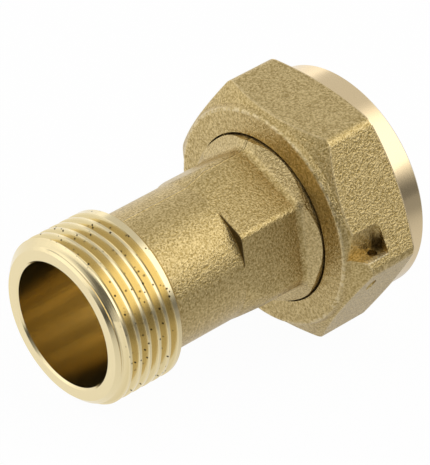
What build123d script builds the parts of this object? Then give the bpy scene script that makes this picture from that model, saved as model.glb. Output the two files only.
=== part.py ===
"""Water meter union, DN 20: a forged brass tailpiece, its captive union nut and a flat gasket.

The union lies on a table as it comes to rest, on one flat of the nut and on the rim of the
tailpiece's thread, so its axis leans by rest_tilt. +X runs from the threaded end to the nut,
+Z is up, and the origin is on the table under the middle of the whole.
"""

import os
from math import atan2, cos, degrees, radians, sin, tan

from build123d import *

# Pipe thread form, shared by the male end (G 3/4) and the nut (G 1)
thread_flank = 27.5
depth_per_pitch = 0.640327

# Tailpiece
thread_d = 26.441
thread_pitch = 1.814
thread_length = 11.9
thread_wall = 2.16
chamfer_under_root = 0.26
shoulder_chamfer = 0.6
bore_chamfer = 0.3
neck_wall = 1.12
neck_length = 13.9
wrench_wall = 1.1
wrench_corner_r = 1.2
wrench_length = 11.2
wrench_turn = 19.0
corner_trim = 0.45
collar_run = 1.7
collar_land = 0.2
collar_over_thread = 0.18
flange_thickness = 2.6
flange_chamfer = 0.3

# Union nut
nut_thread_d = 33.249
nut_thread_pitch = 2.309
nut_length = 16.2
nut_lip = 3.0
nut_flat_wall = 1.62
nut_corner_r = 1.8
relief_depth = 0.1
mouth_chamfer = 1.5
boss_height = 1.1
boss_step = 0.3
boss_draft = 0.45
boss_edge_r = 0.4
front_chamfer = 32.0
rear_chamfer = 22.0
hex_length = 12.4
skirt_wall = 1.32
skirt_chamfer = 0.4

# Seal-wire notch in one corner of the nut, with the wire's hole through what is left of the corner
notch_floor = 1.7
notch_web = 0.88
notch_length = 6.6
notch_corner_r = 0.8
wire_hole_d = 1.5
wire_hole_from_wall = 1.0
wire_hole_from_end = 1.9

# Gasket, and the clearances between the pieces
gasket_thickness = 2.0
gasket_step = 0.4
seat_gap = 0.1
collar_gap = 0.3
flange_gap = 0.35
gasket_gap = 0.35
relief_past_gasket = 0.4

# Radii
thread_r = thread_d / 2
thread_depth = depth_per_pitch * thread_pitch
root_r = thread_r - thread_depth
thread_face_r = root_r - chamfer_under_root
bore_r = root_r - thread_wall
neck_r = bore_r + neck_wall
wrench_apothem = bore_r + wrench_wall
wrench_core_r = bore_r + wrench_wall / 2
wrench_corner = (wrench_apothem - wrench_corner_r) / cos(radians(30)) + wrench_corner_r
trimmed_r = wrench_corner - corner_trim
collar_r = thread_r + collar_over_thread
collar_slope = degrees(atan2(collar_r - wrench_apothem, collar_run))
nut_hole_r = collar_r + collar_gap
nut_major_r = nut_thread_d / 2
nut_minor_r = nut_major_r - depth_per_pitch * nut_thread_pitch
flange_r = nut_minor_r - flange_gap
relief_r = nut_major_r + relief_depth
skirt_r = nut_major_r + skirt_wall
nut_apothem = nut_major_r + nut_flat_wall
nut_corner = nut_apothem / cos(radians(30))
boss_foot_r = nut_apothem - boss_step
boss_face_r = boss_foot_r - boss_draft
notch_wall_r = relief_r + notch_web

# Stations along the axis, counted from the face of the threaded end
thread_chamfer = thread_r - thread_face_r
wrench_start = thread_length + neck_length
wrench_end = wrench_start + wrench_length
nut_face = wrench_end + collar_run + collar_land
flange_start = nut_face + nut_lip + seat_gap
gasket_start = flange_start + flange_thickness
relief_end = gasket_start + gasket_thickness + relief_past_gasket
boss_foot = nut_face + boss_height
hex_back = nut_face + hex_length
nut_back = nut_face + nut_length
front_slope = tan(radians(front_chamfer))
rear_slope = tan(radians(rear_chamfer))
flat_front = boss_foot + boss_step * front_slope

# Rest: the first full crest and the front end of the lowest flat touch the table
rest_tilt = degrees(atan2(nut_apothem - thread_r, flat_front - thread_chamfer))
lean_x = cos(radians(rest_tilt))
lean_z = sin(radians(rest_tilt))
reach_back = nut_back * lean_x + (skirt_r - skirt_chamfer) * lean_z
reach_front = thread_face_r * lean_z
start = Vector((reach_front - reach_back) / 2, 0, thread_r * lean_x - thread_chamfer * lean_z)
along = Vector(lean_x, 0, lean_z)
upward = Vector(-lean_z, 0, lean_x)
union_axis = Axis(start, along)
section = Plane(start, x_dir=along, z_dir=(0, -1, 0))


def cross_plane(station):
    """Plane across the axis, with its X up and its Y towards -Y of the whole."""
    return Plane(start + along * station, x_dir=upward, z_dir=along)


def thread_outline():
    """Crests and roots of the male thread as rings, from the front chamfer to the shoulder."""
    flank = thread_depth * tan(radians(thread_flank))
    land = thread_pitch / 2 - flank
    last_crest = thread_length - shoulder_chamfer
    points = [(thread_chamfer, thread_r)]
    station = thread_chamfer + land
    while station + thread_pitch < last_crest:
        points.append((station, thread_r))
        points.append((station + flank, root_r))
        points.append((station + flank + land, root_r))
        points.append((station + 2 * flank + land, thread_r))
        station += thread_pitch
    points.append((last_crest, thread_r))
    points.append((thread_length, thread_r - shoulder_chamfer))
    return points


def wrench_outline():
    """Hexagon with rounded corners, which stand full only where the forging dies part."""
    hexagon = RegularPolygon(wrench_apothem, 6, major_radius=False, rotation=wrench_turn + 30)
    fillet(hexagon.vertices(), wrench_corner_r)
    for corner in (wrench_turn - 30, wrench_turn + 90):
        Rectangle(2 * trimmed_r, 4 * wrench_apothem, rotation=corner, mode=Mode.INTERSECT)


# Tailpiece: one forging, bored through, whose wrench hexagon slopes out to the collar
with BuildPart() as tailpiece:
    with BuildSketch(cross_plane(wrench_start)):
        wrench_outline()
    extrude(amount=wrench_length)
    with BuildSketch(cross_plane(wrench_end)):
        wrench_outline()
    extrude(amount=2 * collar_run, taper=-collar_slope)
    with BuildSketch(cross_plane(wrench_start)):
        Circle(collar_r)
    extrude(amount=wrench_length + 2 * collar_run, mode=Mode.INTERSECT)
    with BuildSketch(section):
        with BuildLine():
            Polyline((nut_face, wrench_core_r), (nut_face, collar_r), (flange_start, collar_r),
                     (flange_start, flange_r), (gasket_start - flange_chamfer, flange_r),
                     (gasket_start, flange_r - flange_chamfer), (gasket_start, 0), (0, 0),
                     (0, thread_face_r), *thread_outline(), (thread_length, neck_r),
                     (wrench_start, neck_r), (wrench_start, wrench_core_r), close=True)
        make_face()
    revolve(axis=union_axis)
    with BuildSketch(section):
        with BuildLine():
            Polyline((0, 0), (0, bore_r + bore_chamfer), (bore_chamfer, bore_r), (gasket_start, bore_r),
                     (gasket_start, 0), close=True)
        make_face()
    revolve(axis=union_axis, mode=Mode.SUBTRACT)
tailpiece.part.label = "tailpiece"

# Union nut: hexagon with a boss and chamfers, a turned skirt, and a cavity relieved for flange and gasket
with BuildPart() as union_nut:
    with BuildSketch(cross_plane(nut_face)):
        hexagon = RegularPolygon(nut_apothem, 6, major_radius=False, rotation=30)
        fillet(hexagon.vertices(), nut_corner_r)
    extrude(amount=hex_length)
    with BuildSketch(section) as turned_ends:
        with BuildLine():
            Polyline((nut_face, 0), (nut_face, boss_face_r), (boss_foot, boss_foot_r),
                     (boss_foot + (nut_corner - boss_foot_r) * front_slope, nut_corner),
                     (hex_back - (nut_corner - skirt_r) * rear_slope, nut_corner),
                     (hex_back, skirt_r), (hex_back, 0), close=True)
        make_face()
        boss_edge = turned_ends.vertices().sort_by_distance((nut_face, boss_face_r))[0]
        fillet(boss_edge, boss_edge_r)
    revolve(axis=union_axis, mode=Mode.INTERSECT)
    with BuildSketch(section):
        with BuildLine():
            Polyline((hex_back, 0), (hex_back, skirt_r), (nut_back - skirt_chamfer, skirt_r),
                     (nut_back, skirt_r - skirt_chamfer), (nut_back, 0), close=True)
        make_face()
    revolve(axis=union_axis)
    with BuildSketch(section):
        with BuildLine():
            Polyline((nut_face, 0), (nut_face, nut_hole_r), (nut_face + nut_lip, nut_hole_r),
                     (nut_face + nut_lip, relief_r), (relief_end, relief_r), (relief_end, nut_minor_r),
                     (nut_back - mouth_chamfer, nut_minor_r), (nut_back, nut_minor_r + mouth_chamfer),
                     (nut_back, 0), close=True)
        make_face()
    revolve(axis=union_axis, mode=Mode.SUBTRACT)
    notch_plane = Plane(start + along * nut_face + upward * notch_floor, x_dir=along, z_dir=upward)
    with BuildSketch(notch_plane) as notch:
        with Locations((0, -notch_wall_r)):
            Rectangle(2 * notch_length, nut_corner, align=(Align.CENTER, Align.MAX))
        inner_corner = notch.vertices().sort_by_distance((notch_length, -notch_wall_r))[0]
        fillet(inner_corner, notch_corner_r)
    extrude(amount=nut_apothem, mode=Mode.SUBTRACT)
    with BuildSketch(notch_plane):
        with Locations((notch_length - wire_hole_from_end, -notch_wall_r - wire_hole_from_wall)):
            Circle(wire_hole_d / 2)
    extrude(amount=-nut_apothem, mode=Mode.SUBTRACT)
union_nut.part.label = "union_nut"

# Gasket: a flat ring against the flange
with BuildPart() as gasket:
    with BuildSketch(cross_plane(gasket_start)):
        Circle(nut_minor_r - gasket_gap)
        Circle(bore_r + gasket_step, mode=Mode.SUBTRACT)
    extrude(amount=gasket_thickness)
gasket.part.label = "gasket"

os.makedirs("parts", exist_ok=True)
export_step(tailpiece.part, "parts/tailpiece.step")
export_step(union_nut.part, "parts/union_nut.step")
export_step(gasket.part, "parts/gasket.step")
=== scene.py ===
from math import cos, pi, radians, sin, tan

import bpy
from mathutils import Matrix, Vector


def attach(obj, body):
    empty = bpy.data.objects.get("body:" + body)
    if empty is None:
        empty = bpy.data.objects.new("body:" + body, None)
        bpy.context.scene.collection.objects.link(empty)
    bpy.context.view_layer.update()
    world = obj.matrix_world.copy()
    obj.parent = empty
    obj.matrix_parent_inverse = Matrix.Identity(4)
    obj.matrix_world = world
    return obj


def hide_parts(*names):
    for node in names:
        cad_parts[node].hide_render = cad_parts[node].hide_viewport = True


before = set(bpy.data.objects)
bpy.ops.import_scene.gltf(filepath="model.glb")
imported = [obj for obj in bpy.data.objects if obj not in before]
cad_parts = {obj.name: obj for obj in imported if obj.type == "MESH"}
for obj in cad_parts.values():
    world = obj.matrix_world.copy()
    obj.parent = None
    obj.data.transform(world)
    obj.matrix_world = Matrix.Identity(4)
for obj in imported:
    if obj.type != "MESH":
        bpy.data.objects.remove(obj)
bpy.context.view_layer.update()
mm = 0.001
weld = dict(copy=2e-6, ring=1e-6, helix=1e-7)  # merge distances, in metres

union = dict(start=(-27.69073 * mm, 0, 12.92815 * mm), tilt=7.384284)  # face of the threaded end, lean of the axis
place = Matrix.Translation(union["start"]) @ Matrix.Rotation(-radians(union["tilt"]), 4, "Y")


def pick(thing):  # the one selected and active object
    if bpy.context.object and bpy.context.object.mode != "OBJECT":
        bpy.ops.object.mode_set(mode="OBJECT")
    bpy.ops.object.select_all(action="DESELECT")
    thing.select_set(True)
    bpy.context.view_layer.objects.active = thing
    return thing


def castCopy(node, name):  # a merged copy of a CAD node
    thing = bpy.data.objects.new(name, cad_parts[node].data.copy())
    bpy.context.scene.collection.objects.link(thing)
    thing.data.materials.clear()
    pick(thing)
    bpy.ops.object.mode_set(mode="EDIT")
    bpy.ops.mesh.select_all(action="SELECT")
    bpy.ops.mesh.remove_doubles(threshold=weld["copy"])
    bpy.ops.object.mode_set(mode="OBJECT")
    bpy.ops.mesh.customdata_custom_splitnormals_clear()
    return thing


def turned(name, rings, sides):  # a closed ring turned round the X axis from (station, radius) corners, in mm
    pick(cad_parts["gasket"])
    station, radius = rings[0]
    bpy.ops.mesh.primitive_circle_add(vertices=sides, radius=radius * mm, rotation=(0, pi / 2, 0))
    thing = bpy.context.object
    thing.name = name
    bpy.ops.object.transform_apply(rotation=True)
    bpy.ops.object.mode_set(mode="EDIT")
    bpy.ops.mesh.select_all(action="SELECT")
    bpy.ops.transform.translate(value=(station * mm, 0, 0))
    for nextStation, nextRadius in rings[1:] + rings[:1]:
        bpy.ops.mesh.extrude_region_move(TRANSFORM_OT_translate={"value": ((nextStation - station) * mm, 0, 0)})
        scale = nextRadius / radius
        bpy.ops.transform.resize(value=(1, scale, scale), center_override=(nextStation * mm, 0, 0))
        station, radius = nextStation, nextRadius
    bpy.ops.mesh.select_all(action="SELECT")
    bpy.ops.mesh.remove_doubles(threshold=weld["ring"])
    bpy.ops.mesh.normals_make_consistent(inside=False)
    bpy.ops.object.mode_set(mode="OBJECT")
    return thing


def helixTool(name, corners, pitch, turns, steps, turn):  # a thread cutter: corners (station, radius) swept on a helix
    pick(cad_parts["gasket"])
    bpy.ops.mesh.primitive_circle_add(vertices=len(corners), radius=mm, fill_type="NOTHING")
    tool = bpy.context.object
    tool.name = name
    for point, (station, radius) in zip(tool.data.vertices, corners):
        point.co = (station * mm, 0, radius * mm)
    pick(tool)
    screw = tool.modifiers.new("helix", "SCREW")
    screw.axis = "X"
    screw.angle = 2 * pi
    screw.screw_offset = pitch * mm
    screw.iterations = turns
    screw.steps = steps
    screw.render_steps = steps
    screw.use_merge_vertices = False
    bpy.ops.object.modifier_apply(modifier="helix")
    bpy.ops.object.mode_set(mode="EDIT")
    bpy.ops.mesh.select_all(action="SELECT")
    bpy.ops.mesh.remove_doubles(threshold=weld["helix"])
    bpy.ops.mesh.fill_holes(sides=0)
    bpy.ops.mesh.select_all(action="SELECT")
    bpy.ops.mesh.normals_make_consistent(inside=False)
    bpy.ops.transform.rotate(value=radians(turn), orient_axis="X", center_override=(0, 0, 0))
    bpy.ops.object.mode_set(mode="OBJECT")
    return tool


def seat(thing):  # from the union's own axis to where it lies
    thing.data.transform(place)
    return thing


def carve(thing, tool, operation):
    pick(thing)
    cut = thing.modifiers.new(operation.lower(), "BOOLEAN")
    cut.operation = operation
    cut.solver = "EXACT"
    cut.object = tool
    bpy.ops.object.modifier_apply(modifier=cut.name)
    bpy.data.objects.remove(tool)
    return thing


def cove(thing, station, offset, steps):  # rounds the edges that lie in one plane across the axis, sizes in mm
    pick(thing)
    bpy.ops.object.mode_set(mode="EDIT")
    bpy.ops.mesh.select_mode(type="EDGE")
    bpy.ops.mesh.select_all(action="DESELECT")
    bpy.ops.object.mode_set(mode="OBJECT")
    unseat = place.inverted()
    near = [abs((unseat @ point.co).x - station * mm) < 0.01 * mm for point in thing.data.vertices]
    for edge in thing.data.edges:
        edge.select = near[edge.vertices[0]] and near[edge.vertices[1]]
    bpy.ops.object.mode_set(mode="EDIT")
    bpy.ops.mesh.bevel(offset=offset * mm, segments=steps, affect="EDGES")
    bpy.ops.object.mode_set(mode="OBJECT")


def soften(thing, angle):  # smooth shading that keeps flats flat and edges over the angle sharp
    pick(thing)
    bpy.ops.object.shade_smooth_by_angle(angle=radians(angle))
    weighted = thing.modifiers.new("weighted", "WEIGHTED_NORMAL")
    weighted.mode = "FACE_AREA"
    weighted.weight = 60
    weighted.keep_sharp = True
    bpy.ops.object.modifier_apply(modifier="weighted")


class Wire:  # a socket with Python's operators
    def __init__(self, tree, socket=None):
        self.tree = tree
        self.socket = socket

    def node(self, kind, settings=None, sockets=None, out=0):
        made = self.tree.nodes.new(kind)
        for name, value in (settings or {}).items():
            setattr(made, name, value)
        for name, value in (sockets or {}).items():
            if isinstance(value, Wire):
                self.tree.links.new(value.socket, made.inputs[name])
            else:
                made.inputs[name].default_value = value
        return Wire(self.tree, made.outputs[out] if made.outputs else None)

    def out(self, name):
        return Wire(self.tree, self.socket.node.outputs[name])

    def maths(self, operation, first, second=0.0):
        return self.node("ShaderNodeMath", {"operation": operation}, {0: first, 1: second})

    def __add__(self, other):
        return self.maths("ADD", self, other)

    def __radd__(self, other):
        return self.maths("ADD", other, self)

    def __sub__(self, other):
        return self.maths("SUBTRACT", self, other)

    def __rsub__(self, other):
        return self.maths("SUBTRACT", other, self)

    def __mul__(self, other):
        return self.maths("MULTIPLY", self, other)

    def __pow__(self, other):
        return self.maths("POWER", self, other)

    def top(self, other):
        return self.maths("MAXIMUM", self, other)

    def step(self, low, high):  # 0 below low, 1 above high, soft between
        return self.node("ShaderNodeMapRange", {"interpolation_type": "SMOOTHSTEP"},
                         {"Value": self, "From Min": low, "From Max": high})

    def blend(self, first, second):  # colours mixed by this value
        return self.node("ShaderNodeMix", {"data_type": "RGBA"}, {0: self, 6: first, 7: second}, 2)


def newMaterial(name):
    material = bpy.data.materials.new(name)
    material.use_nodes = True
    material.node_tree.nodes.clear()
    return material, Wire(material.node_tree)


def axisCoords(sheet):  # millimetres along the union's axis, across it and up
    local = sheet.node("ShaderNodeTexCoord", out="Object")
    return sheet.node("ShaderNodeMapping", {"vector_type": "TEXTURE"},
                      {"Vector": local, "Location": union["start"],
                       "Rotation": (0, -radians(union["tilt"]), 0), "Scale": (mm, mm, mm)})


def noise(coords, scale, detail=2.0, rough=0.5):
    return coords.node("ShaderNodeTexNoise", {}, {"Vector": coords, "Scale": scale, "Detail": detail,
                                                  "Roughness": rough})


brass = dict(blast=(0.74, 0.575, 0.275, 1), blastDark=(0.37, 0.26, 0.085, 1), paintedHighlight=(0.95, 0.80, 0.50, 1),
             paintedGrooveShade=(0.66, 0.52, 0.22, 1), poresAndPaintedShade=(0.06, 0.04, 0.015, 1),
             grain=3.2, grainDetail=0.6, grainDepth=0.13, pits=(0.30, 0.70), lumps=0.5, lumpShare=0.2,
             lines=9.0, lineDepth=0.007, lineRough=0.06, blastRough=0.34, turnedRough=0.14,
             seamTurn=11, seamEdge=(0.05, 0.3))


def brassMaterial(name, turnedColour, zones, seam):  # seam is the height of the forging's seam line, in mm
    material, sheet = newMaterial(name)
    coords = axisCoords(sheet)
    split = sheet.node("ShaderNodeSeparateXYZ", {}, {0: coords})
    along, across, up = split.out("X"), split.out("Y"), split.out("Z")
    radius = (across * across + up * up) ** 0.5
    mask, paintedGrooveShade, poresAndPaintedShade, paintedHighlight = zones(coords, along, 0 - across, up, radius)
    grain = noise(coords, brass["grain"], rough=brass["grainDetail"])
    lumps = noise(coords, brass["lumps"])
    pits = grain.step(*brass["pits"])
    # painted highlights lighten the blasted brass
    blast = paintedHighlight.blend(pits.blend(brass["blastDark"], brass["blast"]), brass["paintedHighlight"])
    # painted groove shade darkens the turned brass, and pores and painted shade darken it all
    colour = poresAndPaintedShade.blend(mask.blend(blast, paintedGrooveShade.blend(turnedColour, brass["paintedGrooveShade"])), brass["poresAndPaintedShade"])
    lines = noise(sheet.node("ShaderNodeCombineXYZ", {}, {0: along, 1: radius}), brass["lines"])
    turn = radians(brass["seamTurn"])
    offset = sheet.maths("ABSOLUTE", across * cos(turn) - up * sin(turn))
    flash = (1 - offset.step(*brass["seamEdge"])) * seam
    blasted = (grain - 0.5 + (lumps - 0.5) * brass["lumpShare"]) * brass["grainDepth"]
    height = (1 - mask) * (blasted + flash) + mask * lines * brass["lineDepth"]
    bump = sheet.node("ShaderNodeBump", {}, {"Height": height * mm, "Distance": 1.0, "Strength": 1.0})
    rough = (1 - mask) * brass["blastRough"] + mask * (brass["turnedRough"] + lines * brass["lineRough"])
    shader = sheet.node("ShaderNodeBsdfPrincipled", {}, {"Base Color": colour, "Metallic": 1.0,
                                                         "Roughness": rough, "Normal": bump})
    sheet.node("ShaderNodeOutputMaterial", {}, {"Surface": shader})
    return material


groove = dict(flank=27.5, rootRise=0.12, rootHalf=0.09, rootLift=0.03)


def grooveCorners(radius, depth, width, reach, station, inward):  # a pipe thread's groove, round at its root
    slope = tan(radians(groove["flank"]))
    half = [(width / 2 + reach * slope, reach),
            (width / 2 - (depth - groove["rootRise"]) * slope, groove["rootRise"] - depth),
            (groove["rootHalf"], groove["rootLift"] - depth)]
    corners = [(station - offset, radius + inward * rise) for offset, rise in half]
    corners.append((station, radius - inward * depth))
    corners += [(station + offset, radius + inward * rise) for offset, rise in reversed(half)]
    return corners


tail = dict(threadR=13.2205, faceR=11.799, length=11.9, shoulder=0.6, neckR=11.0, coreR=10.6, innerR=10.25,
            boreR=9.88, boreEdge=0.3, lip=2.0, lipOverlap=0.5, neckOverlap=0.4, neckTongue=0.2,
            cutSides=96, cutFront=-1, cutInside=5, cutOutside=20,
            pitch=1.814, depth=1.08, crest=0.38, reach=0.15, sides=192, firstGroove=-0.6, turns=6, threadTurn=200,
            wrenchStart=25.8, wrenchEnd=37.0, coveReach=0.8, coveSteps=5,
            rampFoot=11.023, rampEnd=31.0, rampTop=12.6, rampOutside=16, rampFront=0.2,
            parting=49, slab=(20, 8.8, 60), edgeAngle=30,
            turned=(0.85, 0.72, 0.43, 1), turnedEnd=(11.85, 12.0), boreWall=(10.1, 10.3),
            crestR=(12.9, 13.15), flankFrom=(1.0, 1.6), flankR=(11.5, 11.8), flankShadeShare=0.4,
            poreSpacing=0.85, poreSize=(0.119, 0.17), poreFrom=(1.2, 1.6), poreTo=(11.0, 11.5), poreR=(12.0, 12.2),
            stepFrom=(25.6, 25.75), stepTo=(25.85, 26.0), stepR=(11.05, 11.15), stepShadeShare=0.8,
            slopeFrom=(37.0, 37.2), slopeHighlightShare=0.12, seam=0.16)
tailPiece = castCopy("tailpiece", "tailpieceBody")
cove(tailPiece, tail["wrenchEnd"], tail["coveReach"], tail["coveSteps"])

rampFront = tail["wrenchStart"] - tail["rampFront"]      # the wrench corners run in from the neck
ramp = turned("cornerRamp", [(tail["wrenchStart"], tail["rampFoot"]), (rampFront, tail["rampFoot"]),
                             (rampFront, tail["rampOutside"]), (tail["rampEnd"], tail["rampOutside"]),
                             (tail["rampEnd"], tail["rampTop"])], tail["cutSides"])
bpy.ops.mesh.primitive_cube_add(size=1, location=(tail["wrenchStart"] * mm, 0, 0),
                                rotation=(radians(tail["parting"]), 0, 0))
slab = bpy.context.object                                # the two corners at the parting keep their full start
slab.scale = [length * mm for length in tail["slab"]]
bpy.ops.object.transform_apply(location=True, rotation=True, scale=True)
carve(ramp, slab, "DIFFERENCE")
carve(tailPiece, seat(ramp), "DIFFERENCE")

past, lipStart = tail["length"] + tail["neckOverlap"], tail["lip"] - tail["lipOverlap"]
carve(tailPiece, seat(turned("ringCutter", [(tail["cutFront"], tail["cutInside"]),
                                            (tail["cutFront"], tail["cutOutside"]), (past, tail["cutOutside"]),
                                            (past, tail["coreR"]), (lipStart, tail["coreR"]),
                                            (lipStart, tail["cutInside"])], tail["cutSides"])), "DIFFERENCE")
tongue = past + tail["neckTongue"]
sleeve = turned("threadSleeve", [(tail["lip"], tail["innerR"]), (tail["lip"], tail["boreR"]),
                                 (tail["boreEdge"], tail["boreR"]), (0, tail["boreR"] + tail["boreEdge"]),
                                 (0, tail["faceR"]), (tail["threadR"] - tail["faceR"], tail["threadR"]),
                                 (tail["length"] - tail["shoulder"], tail["threadR"]),
                                 (tail["length"], tail["threadR"] - tail["shoulder"]),
                                 (tail["length"], tail["neckR"]), (tongue, tail["neckR"]),
                                 (tongue, tail["innerR"])], tail["sides"])
maleGroove = grooveCorners(tail["threadR"], tail["depth"], tail["pitch"] - tail["crest"], tail["reach"],
                           tail["firstGroove"], 1)
carve(sleeve, helixTool("maleThread", maleGroove, tail["pitch"], tail["turns"], tail["sides"], tail["threadTurn"]),
      "DIFFERENCE")
carve(tailPiece, seat(sleeve), "UNION")
soften(tailPiece, tail["edgeAngle"])


def tailZones(coords, along, side, up, radius):  # what is turned, painted shade in the thread flanks, pores and painted shade at the wrench step, and a painted highlight on the collar slope
    mask = 1 - along.step(*tail["turnedEnd"]) * radius.step(*tail["boreWall"])
    # painted shade in the thread flanks and roots, standing in for light bounced between them
    flank = (1 - radius.step(*tail["crestR"])) * along.step(*tail["flankFrom"]) * radius.step(*tail["flankR"])
    cells = coords.node("ShaderNodeTexVoronoi", {}, {"Vector": coords, "Scale": tail["poreSpacing"]}, "Distance")
    pores = (1 - cells.step(*tail["poreSize"])) * (1 - along.step(*tail["poreTo"]))
    # painted shade on the small steps where the wrench flats start; the pores beside it are real
    step = along.step(*tail["stepFrom"]) * (1 - along.step(*tail["stepTo"])) * radius.step(*tail["stepR"])
    poresAndPaintedShade = pores * along.step(*tail["poreFrom"]) * radius.step(*tail["poreR"]) + step * tail["stepShadeShare"]
    # the collar slope gets a painted highlight
    return mask, flank * tail["flankShadeShare"], poresAndPaintedShade, along.step(*tail["slopeFrom"]) * tail["slopeHighlightShare"]


tailPiece.data.materials.append(brassMaterial("tailBrass", tail["turned"], tailZones, tail["seam"]))
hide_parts("tailpiece")
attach(tailPiece, "tail")
print("tailpiece", len(tailPiece.data.polygons))


nut = dict(minorR=15.146, pitch=2.309, depth=1.4785, crest=0.5, reach=0.15, firstGroove=45.0, turns=5, steps=192,
           edgeAngle=25, turned=(0.87, 0.69, 0.42, 1),
           skirtR=17.9445, rearSlope=22, rearEdge=(51.05, 51.2), insideR=(16.9, 17.0), insideFrom=(40.5, 41.0),
           notchEnd=45.5, notchWall=17.6, notchFloor=1.7, notchShadeReach=(0.5, 1.9), notchShadeFrom=(1.5, 1.8),
           notchShadeTo=(2.8, 4.6), notchShadeR=(17.2, 17.5), notchShadeShare=0.85,
           bossFrom=(17.0, 17.2), bossTo=(17.55, 17.7), bossBack=(39.2, 39.5), bossHighlightNoise=1.2, bossHighlightEdge=(0.35, 0.65),
           bossHighlightShare=0.5, bossFoot=40.0, frontSlope=32, flatEdge=(17.9445, 18.1945), coneEdge=(0.05, 0.35),
           edgeHighlightShare=0.2, ledgeEdge=(0.1, 0.3), ledgeFrom=(19.3, 19.7), ledgeBack=(45.4, 45.5), ledgeHighlightShare=0.6)
nutPiece = castCopy("union_nut", "unionNutBody")
femaleGroove = grooveCorners(nut["minorR"], nut["depth"], nut["pitch"] - nut["crest"], nut["reach"],
                             nut["firstGroove"], -1)
carve(nutPiece, seat(helixTool("femaleThread", femaleGroove, nut["pitch"], nut["turns"], nut["steps"], 0)),
      "DIFFERENCE")
soften(nutPiece, nut["edgeAngle"])


def nutZones(coords, along, side, up, radius):  # the skirt, rear cone and inside are turned; painted shade inside and in the notch corner, and painted highlights on the boss edge, flat edges and notch ledge
    outside = radius - nut["skirtR"]
    rear = (along + outside * tan(radians(nut["rearSlope"]))).step(*nut["rearEdge"])
    inside = (1 - radius.step(*nut["insideR"])) * along.step(*nut["insideFrom"])
    toRear, toWall = along - nut["notchEnd"], side - nut["notchWall"]
    # painted shade in the notch's inner rear corner
    paintedNotchShade = 1 - ((toRear * toRear + toWall * toWall) ** 0.5).step(*nut["notchShadeReach"])
    paintedNotchShade = paintedNotchShade * up.step(*nut["notchShadeFrom"]) * (1 - up.step(*nut["notchShadeTo"])) * radius.step(*nut["notchShadeR"])
    # painted highlight along the boss's outer edge, broken up by noise
    boss = radius.step(*nut["bossFrom"]) * (1 - radius.step(*nut["bossTo"])) * (1 - along.step(*nut["bossBack"]))
    boss = boss * noise(coords, nut["bossHighlightNoise"]).step(*nut["bossHighlightEdge"]) * nut["bossHighlightShare"]
    slant = side * cos(radians(30))
    flats = up.top(0 - up)                               # distance from the axis across the nearest flat
    for rise in (0.5, -0.5):
        flats = flats.top(up * rise + slant).top(up * rise - slant)
    cone = along - nut["bossFoot"] - outside * tan(radians(nut["frontSlope"]))
    # painted highlight along the edges between the flats and the front cone
    crest = flats.step(*nut["flatEdge"]) * (1 - cone.step(*nut["coneEdge"])) * nut["edgeHighlightShare"]
    # painted highlight along the notch ledge
    ledge = 1 - coords.maths("ABSOLUTE", up - nut["notchFloor"]).step(*nut["ledgeEdge"])
    ledge = ledge * side.step(*nut["ledgeFrom"]) * (1 - along.step(*nut["ledgeBack"])) * nut["ledgeHighlightShare"]
    return rear.top(inside), inside, paintedNotchShade * nut["notchShadeShare"], boss.top(crest).top(ledge)


nutPiece.data.materials.append(brassMaterial("nutBrass", nut["turned"], nutZones, 0.0))
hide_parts("union_nut")
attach(nutPiece, "nut")
print("union nut", len(nutPiece.data.polygons))


rubber = dict(colour=(0.018, 0.018, 0.02, 1), dusty=(0.035, 0.034, 0.034, 1), dust=1.5, dustDetail=3.0,
              dustEdge=(0.3, 0.8), grain=6.0, grainDepth=0.02, rough=0.6, roughShare=0.2)
material, sheet = newMaterial("gasketRubber")
coords = axisCoords(sheet)
dust = noise(coords, rubber["dust"], rubber["dustDetail"])
shade = dust.step(*rubber["dustEdge"]).blend(rubber["colour"], rubber["dusty"])
bump = sheet.node("ShaderNodeBump", {}, {"Height": noise(coords, rubber["grain"]) * (rubber["grainDepth"] * mm),
                                         "Distance": 1.0})
shader = sheet.node("ShaderNodeBsdfPrincipled", {}, {"Base Color": shade, "Normal": bump,
                                                     "Roughness": dust * rubber["roughShare"] + rubber["rough"]})
sheet.node("ShaderNodeOutputMaterial", {}, {"Surface": shader})
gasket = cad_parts["gasket"]
gasket.data.materials.clear()
gasket.data.materials.append(material)
print("gasket")


studio = dict(floor=(0.88, 0.88, 0.87, 1), floorSize=4, dim=(0.1, 0.1, 0.1, 1), dimShare=0.5, glow=0.97,
              table=(-0.12, -0.02), tableGlow=(0.70, 0.98), shade=(-0.03, 0.02), shadeSlant=0.5, room=0.36,
              upper=(0.10, 0.45), above=0.32, key=(0.458, -0.59, 0.664), keyReach=(0.72, 0.95), keyGain=1.0,
              behind=(0.35, 0.75), behindTop=(0.30, 0.50), behindGain=0.70,
              left=(-0.70, 0.27, 0.66), leftReach=(0.78, 0.95), leftGain=0.60,
              lens=(-0.604, -0.574, 0.553), lensReach=(0.86, 0.97), lensDark=0.80,
              sideReach=(0.85, 0.98), sideTop=(0.25, 0.55), sideDark=0.7,
              flag=(0.60, -0.78, 0.17), flagReach=(0.95, 0.99), flagDark=0.5,
              front=(-0.77, -0.62, 0.13), frontReach=(0.94, 0.99), frontDark=0.85)
bpy.ops.object.select_all(action="DESELECT")
bpy.ops.mesh.primitive_plane_add(size=studio["floorSize"], location=(0, 0, 0))
floor = bpy.context.object
floor.name = "floor"
material, sheet = newMaterial("paleFloor")
path = sheet.node("ShaderNodeLightPath")
spot = sheet.node("ShaderNodeSeparateXYZ", {}, {0: sheet.node("ShaderNodeTexCoord", out="Object")})
table = spot.out("Y").step(*studio["table"])            # the white top ends in front, and the room there is dim
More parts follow.
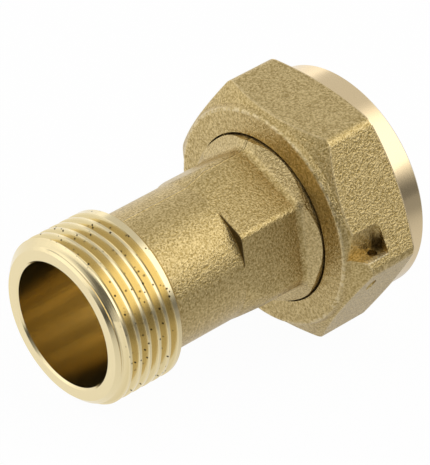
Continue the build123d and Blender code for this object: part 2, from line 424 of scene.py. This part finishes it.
# seen in reflections the floor glows, dimmer at the front right as painted shade
lit = (spot.out("Y") - spot.out("X") * studio["shadeSlant"]).step(*studio["shade"])
shaded, bright = studio["tableGlow"]
mirrored = path.out("Is Glossy Ray").top(path.out("Is Transmission Ray"))
fade = table * (1 - studio["dimShare"]) + studio["dimShare"]
level = path.out("Is Camera Ray").top((lit * (bright - shaded) + shaded) * fade)
matt = sheet.node("ShaderNodeBsdfDiffuse", {}, {"Color": table.blend(studio["dim"], studio["floor"])})
glow = sheet.node("ShaderNodeEmission", {}, {"Color": level.blend((0, 0, 0, 1), (1, 1, 1, 1)), "Strength": 1.0})
mixed = sheet.node("ShaderNodeMixShader", {}, {0: path.out("Is Camera Ray").top(mirrored) * studio["glow"],
                                               1: matt, 2: glow})
sheet.node("ShaderNodeOutputMaterial", {}, {"Surface": mixed})
floor.data.materials.append(material)

world = bpy.data.worlds.new("studio")
bpy.context.scene.world = world
world.use_nodes = True
world.node_tree.nodes.clear()
sheet = Wire(world.node_tree)
path = sheet.node("ShaderNodeLightPath")
ray = sheet.node("ShaderNodeTexCoord", out="Generated")
split = sheet.node("ShaderNodeSeparateXYZ", {}, {0: ray})
right, back, height = split.out("X"), split.out("Y"), split.out("Z")


def towards(name, reach):  # 1 near a direction of the studio, 0 away from it
    aim = sheet.node("ShaderNodeVectorMath", {"operation": "DOT_PRODUCT"},
                     {0: ray, 1: Vector(studio[name]).normalized()}, "Value")
    return aim.step(*studio[reach])


softbox = towards("key", "keyReach") * studio["keyGain"] + towards("left", "leftReach") * studio["leftGain"]
backdrop = back.step(*studio["behind"]) * (1 - height.step(*studio["behindTop"])) * studio["behindGain"]
tent = height.step(*studio["upper"]) * (softbox + studio["above"]) + backdrop + studio["room"]
side = (0 - right).step(*studio["sideReach"]) * (1 - height.step(*studio["sideTop"])) * studio["sideDark"]
level = tent * (1 - side)
for name in ("lens", "flag", "front"):                   # the dim room around the camera, and two dark flags
    level = level * (1 - towards(name, name + "Reach") * studio[name + "Dark"])
sky = sheet.node("ShaderNodeBackground", {}, {"Color": (1, 1, 1, 1), "Strength": level})
white = sheet.node("ShaderNodeBackground", {}, {"Color": (1, 1, 1, 1), "Strength": 1.0})
mixed = sheet.node("ShaderNodeMixShader", {}, {0: path.out("Is Camera Ray"), 1: sky, 2: white})
sheet.node("ShaderNodeOutputWorld", {}, {"Surface": mixed})

lens = dict(spot=(-327.4395 * mm, -314.3229 * mm, 305.5668 * mm), turn=(57.54748, -6.08459, -42.43369),
            focal=283.9875, sensor=36, near=0.01)
bpy.ops.object.camera_add(location=lens["spot"], rotation=[radians(a) for a in lens["turn"]])
camera = bpy.context.object
camera.data.lens = lens["focal"]
camera.data.sensor_width = lens["sensor"]
camera.data.clip_start = lens["near"]
bpy.context.scene.camera = camera
bpy.context.scene.view_settings.view_transform = "Standard"
print("studio")
